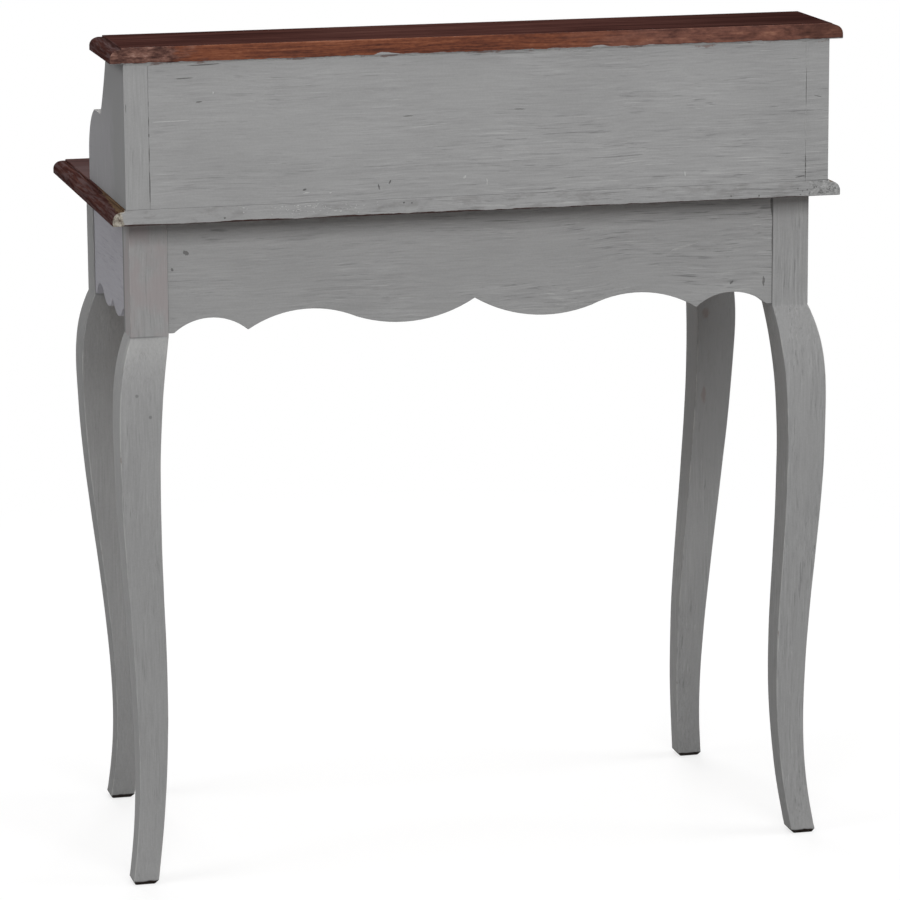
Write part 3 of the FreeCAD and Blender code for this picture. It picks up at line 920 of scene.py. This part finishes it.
def shaped_leg(node, materials, choose=None):
    """Leg rebuilt as one smooth skin, with rounded arrises and a hand-shaped drift."""
    levels = leg_levels(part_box(node)[1].z)
    spans = smoothed(leg_slices(node, levels), levels)
    work = bmesh.new()
    mark = work.verts.layers.float.new("edge")
    rings = []
    seed = Vector((spans[0][0], spans[0][2], 0.0)) * DRIFT_LEGS
    for span, z in zip(spans, levels):
        radius = BLOCK_EASE if z > BLOCK_FOOT else LEG_EASE
        drift = LEG_DRIFT if SOLE < z < BLOCK_FOOT else 0.0
        sides = []
        for k, side in enumerate(span):
            way = seed + Vector((k * DRIFT_SIDES, 0.0, z * DRIFT_GRAIN))
            sides.append(side + drift * noise.noise(way))
        west, east, front, back = sides
        corners = ((east, back, -1, -1), (west, back, 1, -1), (west, front, 1, 1), (east, front, -1, 1))
        ring = []
        for turn, (x, y, way_x, way_y) in enumerate(corners):
            centre = Vector((x + way_x * radius, y + way_y * radius, z))
            for step in range(3):
                angle = math.pi / 2 * turn + math.pi / 4 * step
                offset = Vector((math.cos(angle), math.sin(angle), 0.0)) * radius
                point = work.verts.new(centre + offset)
                point[mark] = 1.0 if step == 1 else 0.0
                ring.append(point)
        rings.append(ring)
    skin(work, rings)
    return stand_in(node, "_shaped", work, materials, choose)


# Knob and screw head: points round the axis, then radius, height and edge mark along the profile
KNOB_STEPS = 40
KNOB_PROFILE = (
    (0.0000, 0.0000, 0.0),
    (0.0072, 0.0000, 0.0),
    (0.0082, 0.0006, 0.4),
    (0.0085, 0.0014, 1.0),
    (0.0080, 0.0022, 0.4),
    (0.0064, 0.0028, 0.0),
    (0.0056, 0.0046, 0.0),
    (0.0054, 0.0064, 0.0),
    (0.0062, 0.0080, 0.0),
    (0.0084, 0.0094, 0.0),
    (0.0108, 0.0106, 0.2),
    (0.0121, 0.0118, 0.8),
    (0.0125, 0.0131, 1.0),
    (0.0122, 0.0144, 0.7),
    (0.0110, 0.0158, 0.4),
    (0.0093, 0.0168, 0.6),
    (0.0086, 0.0171, 0.2),
    (0.0072, 0.0179, 0.5),
    (0.0048, 0.0186, 0.8),
    (0.0022, 0.0189, 1.0),
    (0.0000, 0.0190, 1.0),
)
SCREW_PROFILE = (
    (0.0000, 0.0000, 0.0),
    (0.0040, 0.0000, 0.0),
    (0.0041, 0.0007, 0.0),
    (0.0036, 0.0014, 0.0),
    (0.0024, 0.0020, 0.0),
    (0.0000, 0.0023, 0.0),
)
# Slot of a screw head: length, depth and width, height of its middle, turn and how it varies
SCREW_SLOT = (0.01, 0.002, 0.001)
SLOT_HEIGHT = 0.0021
SLOT_TURN = 0.6
SLOT_VARIES = 9.0


def lathed(profile, centre, way):
    """Skin of a profile of (radius, height, edge mark), turned about a line along Y."""
    work = bmesh.new()
    mark = work.verts.layers.float.new("edge")
    rings = []
    for radius, height, edge in profile:
        ring = []
        count = KNOB_STEPS if radius > 0.0 else 1
        for i in range(count):
            angle = 2 * math.pi * i / count
            offset = Vector((radius * math.cos(angle), way * height, radius * math.sin(angle)))
            point = work.verts.new(centre + offset)
            point[mark] = edge
            ring.append(point)
        rings.append(ring)
    for low, high in zip(rings, rings[1:]):
        for i in range(KNOB_STEPS):
            j = i + 1
            corners = (low[i % len(low)], low[j % len(low)], high[j % len(high)], high[i % len(high)])
            work.faces.new(list(dict.fromkeys(corners)))
    bmesh.ops.recalc_face_normals(work, faces=work.faces)
    return work


def knob_and_screw(node, front):
    """Turned knob in front of a drawer, and the screw head that holds it from inside."""
    low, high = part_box(node)
    middle = (low + high) / 2
    seat = Vector((middle.x, high.y, middle.z))
    stand_in(node, "_turned", lathed(KNOB_PROFILE, seat, -1), [knob_stain])
    inside = Vector((middle.x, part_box(front)[1].y, middle.z))
    head_work = lathed(SCREW_PROFILE, inside, 1)
    head = new_piece(node + "_screw", head_work, [screw_steel], nodes[node]["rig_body"])
    slot_tool = bmesh.new()
    bmesh.ops.create_cube(slot_tool, size=1.0)
    turn = Matrix.Rotation(SLOT_TURN + SLOT_VARIES * middle.x, 4, "Y")
    shape = Matrix.Diagonal((*SCREW_SLOT, 1.0))
    slot_place = Matrix.Translation(inside + Vector((0.0, SLOT_HEIGHT, 0.0)))
    bmesh.ops.transform(slot_tool, matrix=slot_place @ turn @ shape, verts=slot_tool.verts)
    cut(head, slot_tool, screw_steel)


# Directions on the desk
RIGHT = Vector((1, 0, 0))
BACK = Vector((0, 1, 0))
UP = Vector((0, 0, 1))


def by_direction(*choices):
    """Chooser of a face's material: the first (number, direction, least cosine) that fits, or 0."""
    def choose(face):
        for number, direction, least in choices:
            if face.normal.dot(direction) > least:
                return number
        return 0
    return choose


def second_on(direction):
    """Chooser: the second material on faces that look along the direction."""
    return by_direction((1, direction, 0.85))


def end_faces(outward):
    """Chooser for a hutch end: front ledges, strip at the rear, outer side, and the rest plain."""
    return by_direction((3, UP, 0.5), (2, BACK, 0.6), (1, outward, 0.6))


# Chosen sides of three legs take the darker copy of the paint as painted shade
shaped_leg("leg_rear_left", [paint_leg, paint_leg_shaded], second_on(RIGHT))
shaped_leg("leg_rear_right", [paint_rose])
shaped_leg("leg_front_left", [paint_shaded_smudged, paint_leg_shaded], second_on(-RIGHT))
shaped_leg("leg_front_right", [paint_leg, paint_leg_shaded], second_on(RIGHT))

rear_apron = eased_piece("apron_rear", [paint_apron, raw_x], second_on(-BACK))
# Side aprons take the lighter copy of the paint as painted light
eased_piece("apron_left", [paint_y_lit, raw_y], second_on(RIGHT))
eased_piece("apron_right", [paint_y_lit, raw_y], second_on(-RIGHT))
eased_piece("rail_lower", [paint_x, raw_x], second_on(BACK))
eased_piece("rail_upper", [paint_x, raw_x], second_on(BACK))
hutch_back = eased_piece("hutch_back", [paint_back], amount=BACK_EASE)
hutch_ends = []
for side, outward, strip_paint in (("left", -RIGHT, paint_back), ("right", RIGHT, paint_strip)):
    # Outer sides in the darker copy of the paint, and upward ledges with painted shade
    ends_paint = [paint_z, paint_end_shaded, strip_paint, paint_ledge_shaded]
    end = eased_piece("hutch_end_" + side, ends_paint, end_faces(outward), END_EASE)
    hutch_ends.append(end)
    eased_piece("divider_lower_" + side, [paint_z])
    eased_piece("divider_upper_" + side, [paint_z])
eased_piece("hutch_shelf", [paint_x, paint_ledge_shaded], second_on(UP))
eased_piece("hutch_floor", [paint_x])

# Moulded boards: stained, with a sawn rear edge and a raw underside
board_faces = by_direction((1, BACK, 0.25), (2, -UP, 0.9))
top_finish = [stain_top, paint_lap, raw_x]
cap_finish = [stain_cap, stain_rear, raw_x]
writing_top = eased_piece("writing_top", top_finish, board_faces, TOP_EASE)
eased_piece("hutch_top", cap_finish, board_faces, TOP_EASE)


def on_face(y):
    """Wanted edges: those that lie in a front face."""
    def wanted(edge):
        return all(abs(point.co.y - y) < WELD for point in edge.verts)
    return wanted


def finish_node(node, material):
    """Finish for a node that keeps its own mesh."""
    nodes[node].data.materials.clear()
    nodes[node].data.materials.append(material)


# Drawers with their knobs, and the wood of their hidden parts
DRAWERS = {"desk_drawer": ("knob_left", "knob_right")}
for bay in ("left", "middle", "right"):
    DRAWERS["letter_" + bay] = ("knob",)
DRAWER_WOOD = {"side_left": bare_y, "side_right": bare_y, "back": bare_x, "bottom": bare_x}
for drawer, knobs in DRAWERS.items():
    front = drawer + "_front"
    face_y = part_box(front)[0].y
    eased_piece(front, [paint_x, bare_x], second_on(BACK), FRONT_EASE, on_face(face_y))
    for knob in knobs:
        knob_and_screw(drawer + "_" + knob, front)
    for part, wood in DRAWER_WOOD.items():
        finish_node(drawer + "_" + part, wood)
for side in ("left", "right"):
    for part in ("runner_", "kicker_"):
        finish_node(part + side, bare_y)

# Dents and raised drips of paint on the faces that look to the rear: x, z, length, height, depth, tilt
BACK_DENTS = (
    (0.1945, 0.759, 0.004, 0.0022, 0.0006, 0.3),
    (0.1142, 0.7583, 0.0016, 0.006, 0.0007, 0.2),
    (0.1022, 0.7632, 0.0016, 0.0048, 0.0007, -0.4),
    (0.3062, 0.8561, 0.007, 0.0016, 0.0004, 0.1),
    (0.3216, 0.8815, 0.018, 0.0012, 0.0004, 0.05),
    (0.3, 0.895, 0.038, 0.0012, 0.0006, 0.03),
    (0.082, 0.8328, 0.011, 0.001, 0.0004, 0.02),
    (-0.0404, 0.8356, 0.012, 0.001, 0.0004, -0.03),
)
STRIP_DENTS = (
    (-0.3734, 0.837, 0.009, 0.0009, 0.0003, -0.25),
    (0.3838, 0.852, 0.0008, 0.009, 0.0005, 0.0),
)
JOINT_CRACKS = (
    (JOINT, 0.768, 0.0012, 0.038, 0.0007, 0.0),
    (JOINT, 0.803, 0.001, 0.02, 0.0006, 0.0),
    (JOINT, 0.823, 0.0014, 0.004, 0.0006, 0.0),
    (JOINT, 0.838, 0.0008, 0.011, 0.0004, 0.0),
    (JOINT, 0.856, 0.0007, 0.008, 0.0004, 0.0),
    (-JOINT, 0.847, 0.0008, 0.039, 0.0005, 0.0),
    (-JOINT, 0.761, 0.0011, 0.03, 0.0006, 0.0),
    (0.0062 - JOINT, 0.75, 0.0105, 0.0011, 0.0006, 0.16),
)
EDGE_DENTS = (
    (0.0871, 0.7405, 0.0022, 0.002, 0.0006, 0.0),
    (0.0784, 0.7398, 0.0017, 0.0016, 0.0006, 0.0),
    (0.2806, 0.7325, 0.0026, 0.002, 0.0007, 0.3),
    (-0.3076, 0.731, 0.002, 0.002, 0.0007, 0.0),
    (-0.2759, 0.7318, 0.0017, 0.0018, 0.0006, 0.0),
)
APRON_DENTS = (
    (0.3157, 0.6904, 0.0065, 0.0045, 0.0006, -0.6),
    (0.331, 0.673, 0.0026, 0.0034, 0.0006, 0.3),
    (-0.3262, 0.63, 0.0028, 0.0105, 0.0007, 0.0),
    (-0.2895, 0.63, 0.0024, 0.0052, 0.0004, -0.7),
    (0.0009 - BLOCK_SIDE, 0.712, 0.003, 0.022, 0.0012, 0.05),
    (0.0004 - BLOCK_SIDE, 0.676, 0.001, 0.028, 0.0006, 0.0),
)
DRIPS = (
    (0.193, 0.7552, 0.007, 0.0018, 0.0005, 0.1),
    (0.0205, 0.7651, 0.0026, 0.0044, 0.0005, -0.5),
    (-0.0039, 0.759, 0.0014, 0.007, 0.0004, 0.05),
    (-0.2239, 0.7582, 0.0014, 0.0055, 0.0004, 0.1),
    (0.2912, 0.865, 0.0018, 0.003, 0.0004, 0.0),
    (0.338, 0.8368, 0.042, 0.0009, 0.0003, 0.01),
)
SEAM_FILLS = (
    (-JOINT, 0.8835, 0.0026, 0.033, 0.0004, 0.0),
    (-JOINT, 0.808, 0.0024, 0.038, 0.0004, 0.0),
)
APRON_RIDGES = (
    (-0.233, 0.6718, 0.03, 0.0024, 0.0003, 0.26),
    (-0.247, 0.6752, 0.012, 0.0018, 0.0004, 0.22),
    (-0.118, 0.656, 0.013, 0.002, 0.0003, 0.1),
)
cut(hutch_back, lumps(BACK_DENTS + JOINT_CRACKS, REAR, LUMP_FINE), paint_hole)
for end in hutch_ends:
    cut(end, lumps(STRIP_DENTS + JOINT_CRACKS, REAR, LUMP_FINE), paint_hole)

# Pits in the crusty end of the writing top's rear edge: how many, where, and their sizes
PIT_COUNT = 16
PIT_START = 0.004
PIT_STRETCH = 0.045
PIT_RISE = (0.002, 0.01)
PIT_LENGTH = (0.001, 0.002)
PIT_HEIGHT = (0.001, 0.0024)
PIT_DEPTH = 0.0005
random.seed(5)
pits = []
for count in range(PIT_COUNT):
    x = -HALF + PIT_START + PIT_STRETCH * (count + random.random()) / PIT_COUNT
    z = TOP_LOW.z + random.uniform(*PIT_RISE)
    pits.append((x, z, random.uniform(*PIT_LENGTH), random.uniform(*PIT_HEIGHT), PIT_DEPTH, 0.0))
cut(writing_top, lumps(EDGE_DENTS + tuple(pits), REAR, LUMP_PLAIN), paint_hole)
cut(rear_apron, lumps(APRON_DENTS, APRON_REAR, LUMP_FINE), paint_hole)

# Speckles of dried paint by the writing top's rear arris: how many, middle and spread, sizes
SPECKLE_COUNT = 90
SPECKLE_X = (0.184, 0.028)
SPECKLE_Z = (0.739, 0.0045)
SPECKLE_WIDE = (0.0009, 0.0028)
SPECKLE_HIGH = (0.0006, 0.0017)
SPECKLE_DEPTH = 0.0004
SPECKLE_TILT = (-0.5, 0.5)
ARRIS_CLEAR = 0.0015
FOOT_CLEAR = 0.002
random.seed(11)
speckles = []
for count in range(SPECKLE_COUNT):
    x = random.gauss(*SPECKLE_X)
    z = random.gauss(*SPECKLE_Z)
    if abs(z - TOP_HIGH.z) > ARRIS_CLEAR and z > TOP_LOW.z + FOOT_CLEAR:
        wide = random.uniform(*SPECKLE_WIDE)
        high = random.uniform(*SPECKLE_HIGH)
        speckles.append((x, z, wide, high, SPECKLE_DEPTH, random.uniform(*SPECKLE_TILT)))

# Bead of paint under the hutch top: how far it stops short of the ends, least and most reach, steps,
# how quickly it swells, and its rounded section in shares of the reach, outward and down
BEAD_SHORT = 0.001
BEAD_LEAST = 0.0012
BEAD_MOST = 0.0034
BEAD_STEPS = 300
BEAD_SLOW = 60.0
BEAD_QUICK = 230.0
BEAD_ROUND = ((0.9, 0.12), (0.45, 0.45), (0.12, 0.9))


def corner_bead(half, face_y, under_z):
    """Uneven bead of paint in the corner under a board that stands out from the face below it."""
    work = bmesh.new()
    rings = []
    buried = BEAD_LEAST / 4
    for i in range(BEAD_STEPS + 1):
        x = half * (2.0 * i / BEAD_STEPS - 1.0)
        slow = noise.noise(Vector((x * BEAD_SLOW, 0.0, 4.0)))
        quick = noise.noise(Vector((x * BEAD_QUICK, 7.0, 0.0)))
        swell = min(1.0, max(0.0, 0.5 + 0.5 * slow + 0.4 * quick))
        reach = BEAD_LEAST + (BEAD_MOST - BEAD_LEAST) * swell
        if i in (0, BEAD_STEPS):
            reach = BEAD_LEAST / 3
        section = [(-buried, buried), (reach, buried)]
        section += [(out * reach, -down * reach) for out, down in BEAD_ROUND]
        section.append((-buried, -reach))
        rings.append([work.verts.new((x, face_y + y, under_z + z)) for y, z in section])
    skin(work, rings)
    bmesh.ops.recalc_face_normals(work, faces=work.faces)
    return work


RAISED = {
    "paint_drips": (lumps(DRIPS + tuple(speckles), REAR, LUMP_PLAIN), paint_drip),
    "paint_bead": (corner_bead(HUTCH_HALF - BEAD_SHORT, REAR, CAP_LOW.z), paint_bead),
    "paint_seams": (lumps(SEAM_FILLS, REAR, LUMP_FINE), paint_back),
    "paint_ridges": (lumps(APRON_RIDGES, APRON_REAR, LUMP_FINE), paint_ridge),
}
for name, (work, material) in RAISED.items():
    new_piece(name, work, [material], "desk")


def seen_directly(shader):
    """1 for rays of the camera and of reflections, 0 for bounced light."""
    seen = shader.add("ShaderNodeLightPath", {}, "Is Camera Ray")
    for ray in ("Is Glossy Ray", "Is Transmission Ray"):
        seen = seen.most(shader.add("ShaderNodeLightPath", {}, ray))
    return seen


# Floor: half its width, its cells, drop below the soles, tones for bounced light and where it is seen,
# share of the shadow that stays near the desk, and how far
FLOOR_HALF = 30.0
FLOOR_CELLS = 8
FLOOR_DROP = 0.0004
FLOOR_BOUNCE = 0.5
FLOOR_SHOWN = 0.97
SHADOW_SHARE = 0.3
SHADOW_NEAR = 0.75
SHADOW_FAR = 1.7
floor_work = bmesh.new()
bmesh.ops.create_grid(floor_work, x_segments=FLOOR_CELLS, y_segments=FLOOR_CELLS, size=FLOOR_HALF)
floor_mesh = bpy.data.meshes.new("floor")
floor_work.to_mesh(floor_mesh)
floor_work.free()
floor = bpy.data.objects.new("floor", floor_mesh)
bpy.context.scene.collection.objects.link(floor)
floor.location.z = -FLOOR_DROP
floor_mesh.materials.append(bpy.data.materials.new("floor_white"))

# Floor's finish: white where it is seen, apart from the shadow, and pale for bounced light
white = Shader(floor_mesh.materials[0])
white.tree.nodes.clear()
place = white.add("ShaderNodeTexCoord", {}, "Object")
shade_range = {
    "Value": white.add("ShaderNodeVectorMath", {0: place}, "Value", operation="LENGTH"),
    "From Min": SHADOW_NEAR,
    "From Max": SHADOW_FAR,
    "To Min": SHADOW_SHARE,
    "To Max": 0.0,
}
share = white.add("ShaderNodeMapRange", shade_range)
bright = white.add("ShaderNodeEmission", {})
shaded = white.add("ShaderNodeBsdfDiffuse", {"Color": (FLOOR_SHOWN,) * 3})
pale = white.add("ShaderNodeBsdfDiffuse", {"Color": (FLOOR_BOUNCE,) * 3})
seen = white.add("ShaderNodeMixShader", {"Fac": share, 1: bright, 2: shaded})
both = white.add("ShaderNodeMixShader", {"Fac": seen_directly(white), 1: pale, 2: seen})
white.node("ShaderNodeOutputMaterial", {"Surface": both})

# World: white where it is seen, soft light elsewhere
AMBIENT = 0.2
world = bpy.data.worlds.new("studio")
bpy.context.scene.world = world
sky = Shader(world)
sky.tree.nodes.clear()
soft = sky.add("ShaderNodeBackground", {"Color": (1.0, 1.0, 1.0), "Strength": AMBIENT})
plain = sky.add("ShaderNodeBackground", {"Color": (1.0, 1.0, 1.0)})
both = sky.add("ShaderNodeMixShader", {"Fac": seen_directly(sky), 1: soft, 2: plain})
sky.node("ShaderNodeOutputWorld", {"Surface": both})


def soft_box(name, place, aim, width, height, power):
    """Rectangular lamp at a place, aimed at a point of the desk."""
    lamp = bpy.data.lights.new(name, "AREA")
    lamp.shape = "RECTANGLE"
    lamp.size = width
    lamp.size_y = height
    lamp.energy = power
    holder = bpy.data.objects.new(name, lamp)
    bpy.context.scene.collection.objects.link(holder)
    holder.location = place
    holder.rotation_euler = (Vector(aim) - Vector(place)).to_track_quat("-Z", "Y").to_euler()


# Soft boxes: place, aim, width, height, watts
SOFT_BOXES = {
    "key_behind": ((0.08, 2.4, 1.85), (0.0, 0.0, 0.5), 2.0, 1.0, 45.5),
    "key_front": ((-0.08, -2.4, 1.85), (0.0, 0.0, 0.5), 2.0, 1.0, 44.0),
    "overhead": ((0.0, 0.1, 3.2), (0.0, 0.0, 0.5), 2.4, 2.4, 20.0),
    "fill_right": ((2.3, 0.3, 2.1), (0.0, 0.0, 0.6), 1.2, 1.2, 23.0),
    "fill_left": ((-2.3, 0.3, 2.1), (0.0, 0.0, 0.6), 1.2, 1.2, 23.0),
}
for name, settings in SOFT_BOXES.items():
    soft_box(name, *settings)

camera = bpy.data.objects.new("camera", bpy.data.cameras.new("camera"))
bpy.context.scene.collection.objects.link(camera)
camera.data.sensor_width = VIEW_SENSOR
camera.data.lens = VIEW_LENS
turn = Matrix.Rotation(VIEW_AZIMUTH, 4, "Z") @ Matrix.Rotation(math.pi / 2 - VIEW_ELEVATION, 4, "X")
turn = turn @ Matrix.Rotation(VIEW_ROLL, 4, "Z")
away = Matrix.Translation((0.0, 0.0, VIEW_DISTANCE))
camera.matrix_world = Matrix.Translation(VIEW_TARGET) @ turn @ away
bpy.context.scene.camera = camera
bpy.context.scene.view_settings.view_transform = "Standard"
